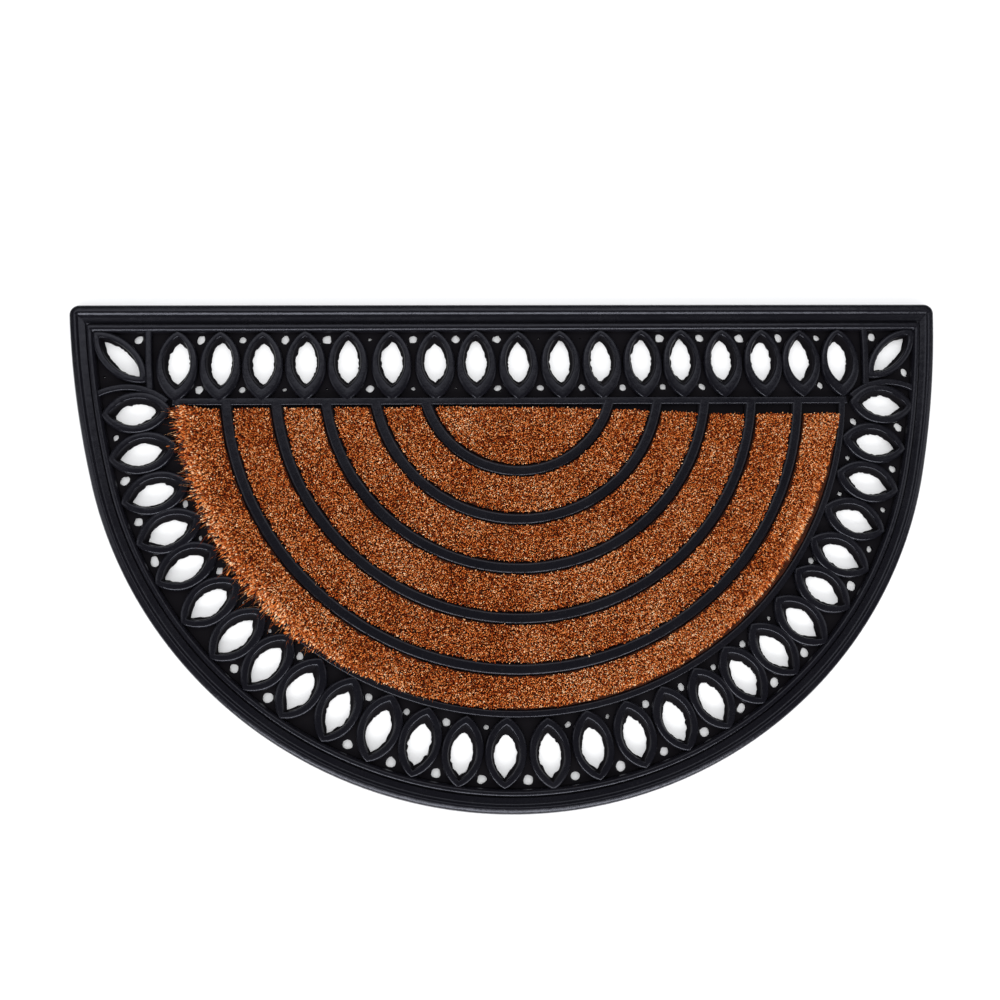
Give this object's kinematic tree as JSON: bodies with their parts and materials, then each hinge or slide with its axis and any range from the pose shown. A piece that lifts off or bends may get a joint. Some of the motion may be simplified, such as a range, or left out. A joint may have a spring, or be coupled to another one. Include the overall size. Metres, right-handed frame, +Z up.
{
  "type": "half round rubber and coir doormat",
  "caption": "Flat half round doormat: a black rubber grill with a ridged rim and almond shaped openings, holding arched bands of cut coir pile.",
  "frame": {"origin": "middle of the footprint, on the underside that lies on the floor", "axes": "+X along the straight edge, +Y from the round edge towards the straight edge, +Z up"},
  "size_m": [0.6986, 0.394, 0.0084],
  "materials": {
    "rubber": "moulded black rubber, satin, slightly bluish, with soft highlights along its ridges",
    "coir": "cut coir pile, orange brown, speckled from dark brown to light tan, rough"
  },
  "bodies": {
    "root": {"rubber_grill": "rubber", "coir_centre": "coir", "coir_band_1": "coir", "coir_band_2": "coir", "coir_band_3": "coir", "coir_band_4": "coir", "coir_band_5": "coir"}
  },
  "joints": []
}
